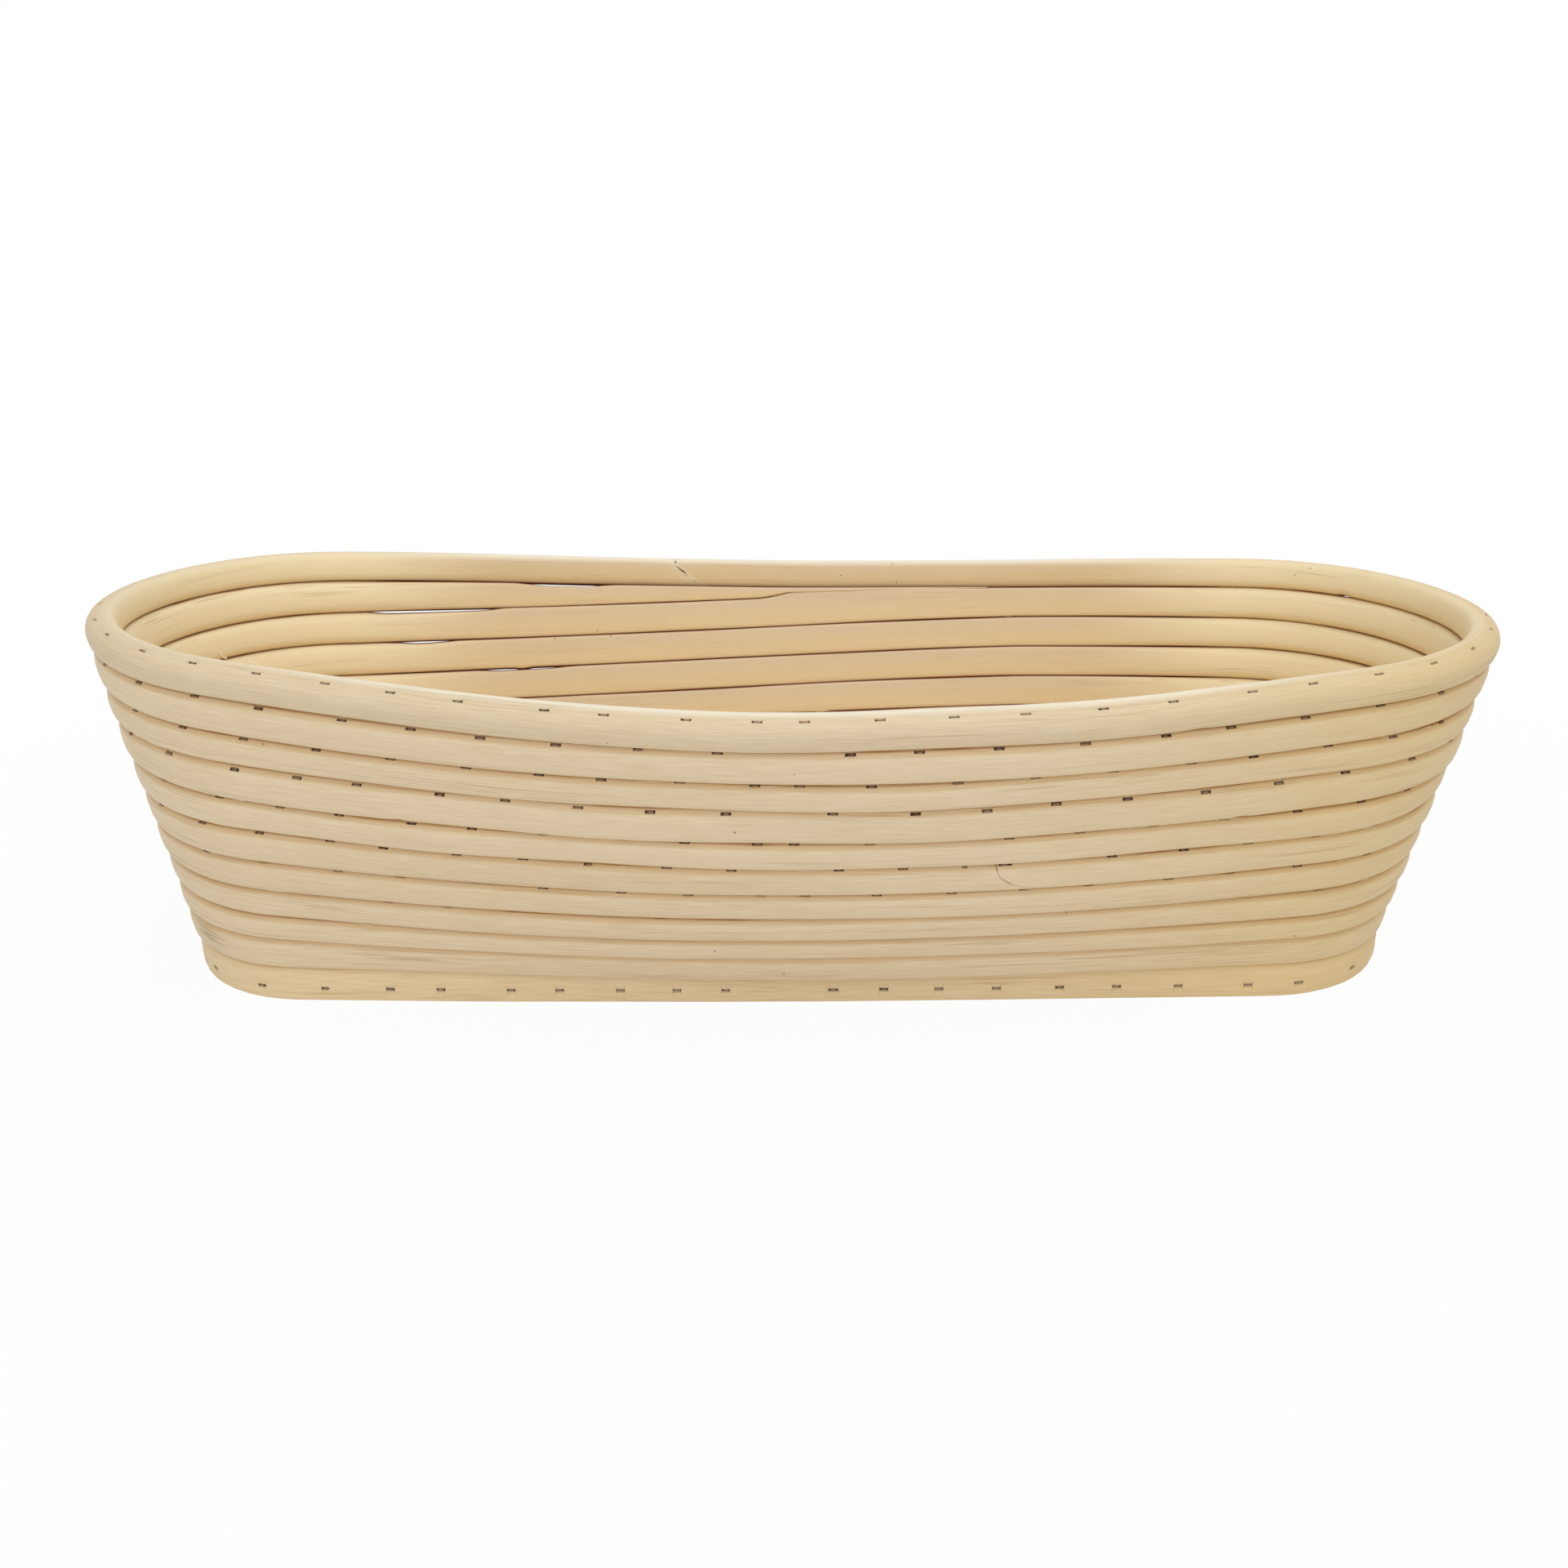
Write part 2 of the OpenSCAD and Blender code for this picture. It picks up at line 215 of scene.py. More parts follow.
# %% Middle line of the cane
def oval(level, turn, inset=0.0):
    """Plan of one level: x, y, the half length of its oval and the mean lean of the sides up to it."""
    mean_lean = lean_foot + (lean_rim - lean_foot) * level / (2 * rim_level)
    half_width = foot_half_width + cane_pitch * level * np.sin(mean_lean)
    half_length = foot_half_length + cane_pitch * level * math.sin(lean_end)
    swell = foot_swell + (rim_swell - foot_swell) * (np.maximum(level, 0) / rim_level) ** swell_growth
    end_r = half_width - swell
    end_x = half_length - end_r
    side_r = (end_x**2 + half_width**2 - end_r**2) / (2 * swell)
    meet = np.arctan2(side_r - half_width, end_x)
    quarter = np.floor(4 * (turn % 1))
    share = 4 * (turn % 1) - quarter
    share = np.where(quarter % 2 == 0, share, 1 - share)
    side_angle = math.pi / 2 - (math.pi / 2 - meet) * share / side_share
    end_angle = meet * (1 - share) / (1 - side_share)
    on_side = share < side_share
    x = np.where(
        on_side,
        (side_r - inset) * np.cos(side_angle),
        end_x + (end_r - inset) * np.cos(end_angle),
    )
    y = np.where(
        on_side,
        half_width - inset + (side_r - inset) * (np.sin(side_angle) - 1),
        (end_r - inset) * np.sin(end_angle),
    )
    x = np.where(quarter < 2, x, -x)
    y = np.where((quarter == 0) | (quarter == 3), y, -y)
    return x, y, half_length, mean_lean


def wall_line(level, turn):
    """Middle of the cane on the wall."""
    x, y, half_length, mean_lean = oval(level, turn)
    reach = x / half_length
    end_share = reach**2
    side_z = foot_height + cane_pitch * level * np.cos(mean_lean)
    end_z = foot_height + cane_pitch * level * math.cos(lean_end)
    z = side_z * (1 - end_share) + end_z * end_share
    z = z + shoulder_rise * level * 4 * end_share * (1 - end_share) - rim_tilt * reach * level / rim_level
    return np.stack([x - foot_shift * (1 - level / rim_level), y, z], axis=-1)


def base_line(level, turn):
    """Middle of the cane in the flat base, whose levels count outward from the core."""
    x, y, _, _ = oval(np.zeros_like(turn), turn, cane_pitch * (base_turns + 1 - level))
    return np.stack([x - foot_shift, y, np.full_like(x, base_height)], axis=-1)


def climb(turn):
    """How far the cane has climbed to its next level at the back, from 0 to 1."""
    share = np.clip((turn - np.round(turn) + climb_start) / (climb_start + climb_end), 0, 1)
    return (share + share**2 * (3 - 2 * share)) / 2


def wound_level(turn, turns):
    """Level of a wound cane, whose first and last stretch fill half of the climb."""
    first = np.round(turn) <= 0
    last = np.round(turn) >= turns
    return np.where(
        first, 0.5 + climb(turn) / 2, np.where(last, turns + climb(turn) / 2, np.round(turn) + climb(turn))
    )


def wound_share(turn, turns):
    """Thickness of a wound cane as a share of its pitch: full, but tapered at both ends."""
    first = np.round(turn) <= 0
    last = np.round(turn) >= turns
    return np.where(first, climb(turn), np.where(last, 1 - climb(turn), 1.0))


first_turn = tip_cut * (climb_start + climb_end) - climb_start
last_step = climb_end - tip_cut * (climb_start + climb_end)
rim_middle = wall_line(np.array([float(rim_level)]), np.array([0.5]))[0]
print("rim at the middle of the front:", rim_middle.round(4))

# %% [markdown]
# ## Places of the staples
# Every turn is stapled to the one below it about every 17 mm, and the staples of one turn lie
# between those of the next. A hand holds the staple gun, so no two distances are quite alike. At the
# back a few turns don't quite touch, and daylight shows between them. A staple draws its turns
# together, so the staples of the turn above sit beside such a gap, and keep their distance there.

# %% Staple places
staple_spacing = 0.017
base_staple_spacing = 0.034
staple_drift = 0.002
staple_offsets = (0.25, 0.75)
staple_room = 0.009
quarter_points = 400
chance = np.random.default_rng(11)


def quarter_lengths(line, level):
    """Turns along a quarter and the length of cane up to each."""
    turn = np.linspace(0, 0.25, quarter_points)
    points = line(np.full_like(turn, level), turn)
    steps = np.linalg.norm(np.diff(points, axis=0), axis=1)
    return turn, np.concatenate([[0], np.cumsum(steps)])


def staple_turns(line, level, spacing, along_side=False):
    """Turns at which one level is stapled, in its four quarters."""
    turn, length = quarter_lengths(line, level)
    offset = staple_offsets[level % 2]
    if along_side:
        side = np.interp(side_share / 4, turn, length)
        runs = np.arange(offset * spacing, side, spacing)
    else:
        count = round(length[-1] / spacing)
        runs = length[-1] * (np.arange(count) + offset) / count
    places = []
    for quarter in range(4):
        drift = chance.uniform(-staple_drift, staple_drift, len(runs))
        share = np.interp(runs + drift, length, turn)
        places.append(quarter / 4 + (share if quarter % 2 == 0 else 0.25 - share))
    return np.concatenate(places)


wall_places = {level: staple_turns(wall_line, level, staple_spacing) for level in range(1, rim_level + 1)}
foot_places = staple_turns(base_line, base_turns + 1, staple_spacing)
base_places = {
    level: staple_turns(base_line, level, base_staple_spacing, along_side=True)
    for level in range(1, base_turns + 1)
}
# Course below the gap, first and last place as shares of a turn, and width of the gap.
daylight = (
    (9, 0.940, 0.961, 0.0006),
    (8, 0.907, 0.938, 0.0005),
    (7, 0.912, 0.927, 0.0004),
    (6, 0.930, 0.952, 0.0003),
)
for course, first, last, _ in daylight:
    places = np.sort(wall_places[course + 1])
    before_gap = places[places < (first + last) / 2][::-1]
    after_gap = places[places >= (first + last) / 2]
    before_gap = np.minimum(before_gap, first - staple_room * np.arange(len(before_gap)))
    after_gap = np.maximum(after_gap, last + staple_room * np.arange(len(after_gap)))
    wall_places[course + 1] = np.concatenate([before_gap[::-1], after_gap])
print("staples on the rim:", len(wall_places[rim_level]), "on the foot:", len(foot_places))

# %% [markdown]
# ## The cane itself
# A cane is a rod that the winding presses against its neighbours, so its section is a circle squared
# up a little, and more so on the inside, where it lay against the mould. It wavers from its line, has
# small nicks along its edge and a dent under each staple. A curve with a bevel would give an even pipe,
# so the rings of the rod are placed one by one instead, close together at dents and nicks. Each point
# also keeps its place in the straight, unbent cane, and the fibres of the finish follow that.

# %% Section of a cane
cane_wide = 0.0082
rim_wide = 0.0079
foot_wide = 0.0093
# How little each section is squared up outside above, outside below and inside: 1 is a circle.
pressed = (0.62, 0.7, 0.25)
rim_pressed = (1.0, 0.65, 0.6)
hardly_pressed = (0.8, 0.8, 0.8)
stood_on = (0.6, 0.5, 0.8)
pressed_in = 0.0001
end_inside = 0.62
end_from = 0.085
end_to = 0.14
# How far the painted bounce gold and the painted highlight give way at the ends, where painted light lies
# inside.
end_paler = 0.9
section_angles = np.radians(np.concatenate([np.arange(-15, 105, 5), np.arange(105, 345, 15)]))
cosines, sines = np.cos(section_angles), np.sin(section_angles)
# Widths of the creases, inside and out, that take the painted seam shade.
inner_crease = 1.3
outer_crease = 0.55
crease_width = np.where(sines < 0, inner_crease, outer_crease)
# Angles on the section over which the painted shadow under the cane above fades in.
shaded_from = math.radians(58)
shaded_to = math.radians(20)
# Where the painted highlight lies along the top of the rim, on the section.
painted_highlight_from = 0.3
painted_highlight_over = 0.4
painted_highlight_inward = 0.3
dent_rings = np.array([-1.25, -1.1, -0.4, 0.4, 1.1, 1.25]) / 1000
dent_inner = 0.0011
dent_outer = 0.00125
dent_width = 0.0005
dent_depth = 0.0004


def squared_up(value, power):
    """A sine or cosine, drawn towards -1 or 1 as the power falls below 1."""
    return np.sign(value) * np.abs(value) ** power


def section_outline(section, at_end=0.0):
    """Height and width of a section from -1 to 1, squared up outside above, outside below and inside.

    The inside stays rounder at the ends of the basket, where the mould pressed less.
    """
    above, below, inside = section
    inside = inside + (max(end_inside, inside) - inside) * at_end
    power = np.where(sines < 0, inside, np.where(cosines < 0, below, above))
    return squared_up(cosines, power), squared_up(sines, power)


def surface_place(angle, half_up, half_out, section):
    """Where a line from the middle of the section, so far outward from the top, meets its edge."""
    power = section[0]
    turned = np.arctan((np.tan(angle) * half_up / half_out) ** (1 / power))
    return half_up * squared_up(np.cos(turned), power), half_out * squared_up(np.sin(turned), power)


def even_round(rise, width):
    """The section unrolled and laid round a circle of the same girth, so that no fibre is stretched."""
    steps = np.hypot(np.diff(rise, append=rise[0]), np.diff(width, append=width[0]))
    angle = 2 * math.pi * np.concatenate([[0], np.cumsum(steps)[:-1]]) / steps.sum()
    radius = steps.sum() / (2 * math.pi)
    return radius * np.cos(angle), radius * np.sin(angle)


# %% Rings of points along a cane
ring_step = 0.0045
least_ring_step = 0.00012
waver_out = 0.00025
waver_up = 0.00004
waver_thick = 0.00006
waver_lengths = (0.05, 0.26)
waver_swings = 4
nicks_per_metre = 2.5
nick_rings = np.array([-2.4, -0.8, 0.8, 2.4]) / 1000
nick_length = 0.003
nick_depth = 0.00045
slant_reach = 2.2
slant_rest = 0.001
scarf_bow = 2.2
least_half = 0.0001
# How far the seam above each course, from the foot up, sits off its place at the front.
seam_lifts = (0.0025, 0.0032, 0.0009, 0.0003, 0.0005, 0.001, 0.0005, 0.0022, 0.0008, 0.0012)
rag_reach = 0.003
fray_reach = 0.0012
gap_ramp = 0.006
small_turn = 0.0004
small_level = 0.01
path_points = 3000
least_path_points = 600
smooth_under = math.radians(50)


def waver(run, seed):
    """A slow random swing along the cane, between about -1 and 1."""
    draw = np.random.default_rng(seed)
    swing_sum = np.zeros_like(run)
    for _ in range(waver_swings):
        length = draw.uniform(*waver_lengths)
        swing_sum += np.sin(2 * math.pi * run / length + draw.uniform(0, 2 * math.pi))
    return swing_sum / math.sqrt(waver_swings)


def wander(run, seed, up, out):
    """How far the middle of the cane has strayed from its line."""
    return out * (waver_out * waver(run, seed))[:, None] + up * (waver_up * waver(run, seed + 1))[:, None]


def front_lift(turn):
    """How far the seam above a turn of the wall sits off its place at the front, where canes vary."""
    course = np.floor(turn) + 1
    near_front = np.cos(math.pi * (turn - course + 0.5)) ** 2
    lift = np.zeros_like(turn)
    for lifted, height in enumerate(seam_lifts):
        lift = np.where(course == lifted, height * near_front, lift)
    return lift


def seam_lift(turn):
    """The same, but at the back the seam rises into the room that the last taper leaves."""
    tip_room = cane_pitch * wound_share(turn + 1, wall_turns)
    at_tip = (turn > tip_turn - tip_reach) & (turn < tip_turn + climb_end)
    return np.where(at_tip, tip_room * ramp((turn - tip_turn + tip_reach) / tip_reach), front_lift(turn))


def lift_below(turn):
    return seam_lift(turn - 1)


def foot_lift(turn):
    return front_lift(turn % 1 - 1)


def rim_lift_below(turn):
    return front_lift(turn % 1 + wall_turns - 1)


def no_lift(turn):
    return np.zeros_like(turn)


def end_slide(run, length, high, slants, lag):
    """How far a slanted joint carries a point along the cane, by its height on the section, -1 to 1."""
    reach = slant_reach * max(abs(slant) for slant in slants) + slant_rest
    first_end = np.clip(1 - run / reach, 0, 1)
    last_end = np.clip(1 - (length - run) / reach, 0, 1)
    bowed = 1 - 2 * ((1 - high) / 2) ** scarf_bow
    return (slants[0] * first_end + slants[1] * last_end) * bowed + lag * first_end


def unit(vectors):
    return vectors / np.linalg.norm(vectors, axis=-1, keepdims=True)


def dots(first, second):
    return np.sum(first * second, axis=-1, keepdims=True)


def path_runs(line, level_at, start, end):
    """Turns from start to end, and the length of cane up to each."""
    turn = np.linspace(start, end, max(least_path_points, int(path_points * (end - start))))
    points = line(level_at(turn), turn)
    steps = np.linalg.norm(np.diff(points, axis=0), axis=1)
    return turn, np.concatenate([[0], np.cumsum(steps)])


def ring_runs(length, marks):
    """Runs along the cane that get a ring: even steps, and those around marks."""
    stops = np.concatenate([np.linspace(0, length, int(length / ring_step)), marks.ravel()])
    stops = np.sort(stops[(stops >= 0) & (stops <= length)])
    return stops[np.concatenate([[True], np.diff(stops) > least_ring_step])]


def cane_frames(line, level_at, turn, upright=False):
    """Middle, directions along the cane, up the slope and out of the wall, and the room for a turn."""
    level = level_at(turn)
    middle = line(level, turn)
    before, after = turn - small_turn, turn + small_turn
    ahead = unit(line(level_at(after), after) - line(level_at(before), before))
    slope = (line(level + small_level, turn) - line(level - small_level, turn)) / (2 * small_level)
    if upright:
        slope = np.broadcast_to(np.array([0.0, 0.0, cane_pitch]), middle.shape)
    up = slope - ahead * dots(slope, ahead)
    room = np.linalg.norm(up, axis=-1)
    up = unit(up)
    return middle, ahead, up, np.cross(up, ahead), room


def ramp(value):
    """0 below 0, 1 above 1, and smooth between."""
    share = np.clip(value, 0, 1)
    return share**2 * (3 - 2 * share)


def opened(turn, gaps):
    """How far the top of the cane is drawn down where daylight shows above it."""
    depth = np.zeros_like(turn)
    for course, first, last, opening in gaps:
        place = turn - (course - 1)
        edge = ramp((place - first) / gap_ramp) * ramp((last - place) / gap_ramp)
        depth = np.maximum(depth, (opening + 2 * pressed_in) * edge)
    return depth


def make_piece(name, points, faces):
    """A mesh object at the origin, with faces that point outwards."""
    mesh = bpy.data.meshes.new(name)
    mesh.from_pydata(points.tolist(), [], faces)
    piece = bpy.data.objects.new(name, mesh)
    bpy.context.collection.objects.link(piece)
    bpy.ops.object.select_all(action="DESELECT")
    piece.select_set(True)
    bpy.context.view_layer.objects.active = piece
    bpy.ops.object.mode_set(mode="EDIT")
    bpy.ops.mesh.select_all(action="SELECT")
    bpy.ops.mesh.normals_make_consistent(inside=False)
    bpy.ops.object.mode_set(mode="OBJECT")
    bpy.ops.object.shade_smooth_by_angle(angle=smooth_under)
    return piece


def tube_faces(count, sides):
    """Faces of a tube of rings, closed at both ends."""
    ring = np.arange(sides)
    beside = np.roll(ring, -1)
    base = (np.arange(count - 1) * sides)[:, None]
    quads = np.stack([base + ring, base + beside, base + sides + beside, base + sides + ring], axis=-1)
    return [*quads.reshape(-1, 4).tolist(), ring[::-1].tolist(), (ring + (count - 1) * sides).tolist()]


def keep_on_points(piece, name, values):
    """Keeps a number or a vector on each point of the mesh, for the finish to read."""
    kind, field = ("FLOAT_VECTOR", "vector") if values.ndim == 3 else ("FLOAT", "value")
    attribute = piece.data.attributes.new(name, kind, "POINT")
    attribute.data.foreach_set(field, values.astype(np.float32).ravel())


# %% Marks on a cane
def nicks(stops, nick_runs, nick_signs):
    """How far the lower edge is nicked in or out at each stop, from -1 to 1."""
    depth = np.zeros_like(stops)
    for run, sign in zip(nick_runs, nick_signs):
        depth += sign * np.clip(1 - np.abs(stops - run) / nick_length, 0, 1)
    return depth


def dents(stops, staple_runs, staples, rise, width, half_top, half_out, section):
    """How deep each point lies in the dent of a staple, from 0 to 1."""
    depth = np.zeros_like(rise)
    for run, (_, angle) in zip(staple_runs, staples):
        near = np.abs(stops - run) < dent_outer
        along = ramp((dent_outer - np.abs(stops[near] - run)) / (dent_outer - dent_inner))[:, None]
        high, far = surface_place(angle, half_top[near], half_out[near], section)
        across = np.hypot(rise[near] - high[:, None], width[near] - far[:, None]) / dent_width
        depth[near] = np.maximum(depth[near], along * np.clip(1 - across**2, 0, 1))
    return depth


def stain_shares(stops, stain_runs, stains):
    """How much each point is stained."""
    share = np.zeros((len(stops), len(section_angles)))
    for run, (_, angle, long, wide_angle) in zip(stain_runs, stains):
        along = np.exp(-((stops - run) / long) ** 2)
        share += along[:, None] * np.exp(-((section_angles - angle) / wide_angle) ** 2)
    return share


def unrolled(stops, seed, section, wide):
    """The place of each point in the straight cane."""
    rise, width = section_outline(section)
    round_up, round_out = even_round(rise * cane_pitch / 2, width * wide / 2)
    return np.stack(np.broadcast_arrays((stops + seed)[:, None], round_up, round_out), axis=-1)


def edge_shades(square_width, free_sides):
    """Where a cane is creased and shaded by its neighbours, so not on its free sides."""
    crease = np.clip(1 - np.abs(square_width) / crease_width, 0, 1)
    shaded = np.clip((shaded_from - section_angles) / (shaded_from - shaded_to), 0, 1)
    shaded = np.where((cosines > 0) & (sines > 0), shaded, 0)
    for side in free_sides:
        crease = np.where(side * cosines > 0, 0, crease)
        shaded = np.where(side * cosines > 0, 0, shaded)
    return crease, shaded


# %% One cane along its line
paths = {}


def wind_cane(name, line, level_at, share_at, start, end, seed, wide=cane_wide, section=pressed, staples=(),
              gaps=(), slants=(0.0, 0.0), lag=0.0, rag=0.0, upright=False, lowest=None, free_sides=(),
              dent_stain_and_shade=1.0, lift_at=no_lift, lift_low=no_lift, stains=()):
    """One cane along its line, whose height is its share of the room between its neighbours.

    Staples are (turn, angle) pairs, gaps are (course, first place, last place, opening), slants are those
    of the two ends, free sides are the sides, 1 up or -1 down, at which no other cane lies, and stains are
    (turn, angle, length, width), the width as an angle.
    """
    draw = np.random.default_rng(seed)
    turns, runs = path_runs(line, level_at, start, end)
    paths[name] = (turns, runs, seed, slants, lag)
    length = runs[-1]
    staple_runs = np.array([np.interp(turn, turns, runs) for turn, _ in staples])
    nick_runs = draw.uniform(0, length, int(length * nicks_per_metre))
    nick_signs = draw.choice([-1.0, 1.0], len(nick_runs))
    marked = np.concatenate([(staple_runs[:, None] + dent_rings).ravel(),
                             (nick_runs[:, None] + nick_rings).ravel()])
    stops = ring_runs(length, marked)
    turn = np.interp(stops, runs, turns)
    middle, ahead, up, out, room = cane_frames(line, level_at, turn, upright)
    middle = middle + wander(stops, seed, up, out)
    half_high = share_at(turn) * room / 2 + pressed_in + waver_thick * waver(stops, seed + 2)
    half_out = wide / 2 + waver_thick * waver(stops, seed + 3)
    half_top = half_high + lift_at(turn) - opened(turn, gaps)
    half_low = half_high - lift_low(turn) + nick_depth * nicks(stops, nick_runs, nick_signs)
    if 1 in free_sides:
        half_top = np.minimum(half_top, cane_solid / 2)
    half_top, half_low = np.maximum(half_top, least_half), np.maximum(half_low, least_half)

    at_end = ramp((np.abs(middle[:, :1]) - end_from) / (end_to - end_from))
    square_rise, square_width = section_outline(section, at_end)
    rise = np.where(cosines > 0, half_top[:, None], half_low[:, None]) * square_rise
    width = half_out[:, None] * square_width
    dent = dents(stops, staple_runs, staples, rise, width, half_top, half_out, section)
    sink = 1 - dent_depth / (wide / 2) * np.sqrt(dent)
    from_end = np.minimum(stops, length - stops)[:, None]
    slide = end_slide(stops[:, None], length, square_rise, slants, lag)
    slide = slide + rag * np.clip(1 - from_end / rag_reach, 0, 1) * draw.uniform(-1, 1, rise.shape)
    points = (middle[:, None] + up[:, None] * (rise * sink)[..., None]
              + out[:, None] * (width * sink)[..., None] + ahead[:, None] * slide[..., None])
    if lowest is not None:
        points[..., 2] = np.maximum(points[..., 2], lowest)
    piece = make_piece(name, points.reshape(-1, 3), tube_faces(len(stops), len(section_angles)))

    crease, shaded = edge_shades(square_width, free_sides)
    # The inner side takes the painted bounce gold, and the painted shade on the upper part of each band.
    inner = np.clip(-sines, 0, 1)
    painted_highlight = ramp((cosines - painted_highlight_from) / painted_highlight_over)
    painted_highlight = painted_highlight * ramp(painted_highlight_inward - sines / painted_highlight_inward)
    marks = {
        "dent": dent * dent_stain_and_shade,
        "crease": crease,
        "shaded": shaded,
        "inner_side": inner * (1 - end_paler * at_end),
        "end_inside": inner * at_end,
        "high": square_rise,
        "painted_highlight": painted_highlight * (1 in free_sides) * (1 - end_paler * at_end),
        "frayed": ramp(1 - from_end / fray_reach) * (rag > 0),
        "stained": stain_shares(stops, [np.interp(stain[0], turns, runs) for stain in stains], stains),
    }
    keep_on_points(piece, "straight", unrolled(stops, seed, section, wide))
    for mark, values in marks.items():
        keep_on_points(piece, mark, np.broadcast_to(values, rise.shape))
    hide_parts(name)
    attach(piece, "root")
    print(name, "is", round(length, 3), "m long, with", 2 * len(piece.data.polygons), "triangles")
    return piece


# %% [markdown]
# ## Winding the canes
# The wall is wound from two canes that meet in a slanted joint at the front. The rim and the foot are
# hoops of their own, each with a slanted joint. The flat base starts from a short straight core. A
# staple on the foot's joint would sit in its slit, so the staples there are pushed a little aside.

# %% Sizes and levels of the canes
wall_staple_angles = np.radians([10, 12, 19, 22, 23, 23, 25, 23, 24])
staple_scatter = math.radians(2.5)
rim_staple_angle = math.radians(10)
foot_staple_angle = math.radians(88)
wall_half_slant = 0.008
wall_scarf_gap = 0.0002
rim_scarf_gap = 0.0001
rim_rag = 0.0007
# The hoops' dents take less of the rust stain and painted shade.
hoop_dent_stain_and_shade = 0.75
joint_push = 0.008
push_reach = 0.03
half_slant = scarf_length / 2
rim_start = -rim_joint
# Turn, angle on the section, length along the cane and width as an angle.
damp_stains = [(0.6622, math.radians(70), 0.006, math.radians(22))]


def wall_level(turn):
    return wound_level(turn, wall_turns)


def wall_share(turn):
    return wound_share(turn, wall_turns)


def base_level(turn):
    return wound_level(turn, base_turns)


def base_share(turn):
    return wound_share(turn, base_turns)


def on_rim(turn):
    return np.full_like(turn, float(rim_level))


def on_foot(turn):
    return np.zeros_like(turn)


def full_share(turn):
    return np.ones_like(turn)


def course_turn(course, place):
    """Turn of the wound cane at a place on one course: it climbs past the middle of the back."""
    return course - 1 + place + (1 if place < next_course_to else 0)


# %% Staples on each turn
wall_staple_turns = {course: [course_turn(course, place) for place in wall_places[course]]
                     for course in range(1, wall_turns + 1)}
base_staple_turns = {course: [course_turn(course, place) for place in base_places[course]]
                     for course in range(1, base_turns + 1)}
wall_staple_pairs = {}
for course, turns in wall_staple_turns.items():
    angles = wall_staple_angles[course - 1] + chance.uniform(-staple_scatter, staple_scatter, len(turns))
    wall_staple_pairs[course] = [pair for pair in zip(turns, angles) if pair[0] < wall_turns - bare_tip]
base_staple_pairs = [(turn, 0.0) for turns in base_staple_turns.values() for turn in turns
                     if turn < base_turns - bare_tip]
wall_dents = [pair for pairs in wall_staple_pairs.values() for pair in pairs]
rim_dents = [((turn - rim_start) % 1 + rim_start, rim_staple_angle) for turn in wall_places[rim_level]]
from_joint = (foot_places - foot_joint + 0.5) % 1 - 0.5
pushed = from_joint + np.copysign(joint_push * np.exp(-np.abs(from_joint) / push_reach), from_joint)
foot_dents = [(turn, foot_staple_angle) for turn in foot_joint + pushed % 1]
print("staples on the wall:", len(wall_dents), "in the base:", len(base_staple_pairs))

# %% Canes wound one by one
lower_wall = wind_cane(
    "lower_wall_cane", wall_line, wall_level, wall_share, first_turn, wall_joint, seed=10,
    staples=[pair for pair in wall_dents if pair[0] < wall_joint], slants=(0, wall_half_slant),
    lift_at=seam_lift, lift_low=lift_below, stains=damp_stains)
upper_wall = wind_cane(
    "upper_wall_cane", wall_line, wall_level, wall_share, wall_joint, wall_turns + last_step, seed=20,
    staples=[pair for pair in wall_dents if pair[0] > wall_joint], gaps=daylight,
    slants=(wall_half_slant, 0), lag=wall_scarf_gap, lift_at=seam_lift, lift_low=lift_below)
rim = wind_cane(
    "rim_hoop", wall_line, on_rim, full_share, rim_start, rim_start + 1, seed=30, wide=rim_wide,
    section=rim_pressed, staples=rim_dents, slants=(-half_slant, -half_slant), lag=rim_scarf_gap,
    rag=rim_rag, free_sides=(1,), dent_stain_and_shade=hoop_dent_stain_and_shade, lift_low=rim_lift_below)
foot = wind_cane(
    "foot_hoop", wall_line, on_foot, full_share, foot_joint, foot_joint + 1, seed=40, wide=foot_wide,
    section=stood_on, staples=foot_dents, slants=(half_slant, half_slant), upright=True, lowest=0.0,
    free_sides=(-1,), dent_stain_and_shade=hoop_dent_stain_and_shade, lift_at=foot_lift)
base_cane = wind_cane(
    "base_cane", base_line, base_level, base_share, first_turn, base_turns + last_step, seed=50,
    wide=cane_solid, section=hardly_pressed, lowest=0.0)

# %% Core of the base
core_half = base_length / 2 - cane_solid


def core_line(level, turn):
    """Straight line along the middle of the base."""
    x = (turn - 0.5) * 2 * core_half - foot_shift
    return np.stack([x, level * cane_pitch, np.full_like(x, base_height)], axis=-1)


def core_share(turn):
    """The core is shaved towards its ends, where the first turn leaves it less room."""
    end_r = foot_half_width - foot_swell
    side_r = ((base_length / 2) ** 2 + foot_half_width**2 - end_r**2) / (2 * foot_swell)
    turn_r = side_r - cane_pitch * base_turns
    x = (turn - 0.5) * 2 * core_half
    return 2 * (cane_pitch - turn_r + np.sqrt(turn_r**2 - x**2)) / cane_pitch - 1


core = wind_cane(
    "base_core", core_line, on_foot, core_share, 0.0, 1.0, seed=60, wide=cane_solid, section=hardly_pressed,
    lowest=0.0)
canes = [lower_wall, upper_wall, rim, foot, base_cane, core]

# %% [markdown]
# ## Staples
# A staple is a flat crown with two legs, bent from steel wire. One is modelled from a cube: its ends
# are drawn out to the corners and the corners are drawn down into legs. Each place then gets a copy,
# turned a little, with its crown sunk in its dent.

# %% One staple
staple_crown = 0.0023
staple_wire = 0.0006
staple_flat = 0.0005
staple_leg = 0.012
base_staple_leg = 0.010
corner_cut = staple_wire * 0.3


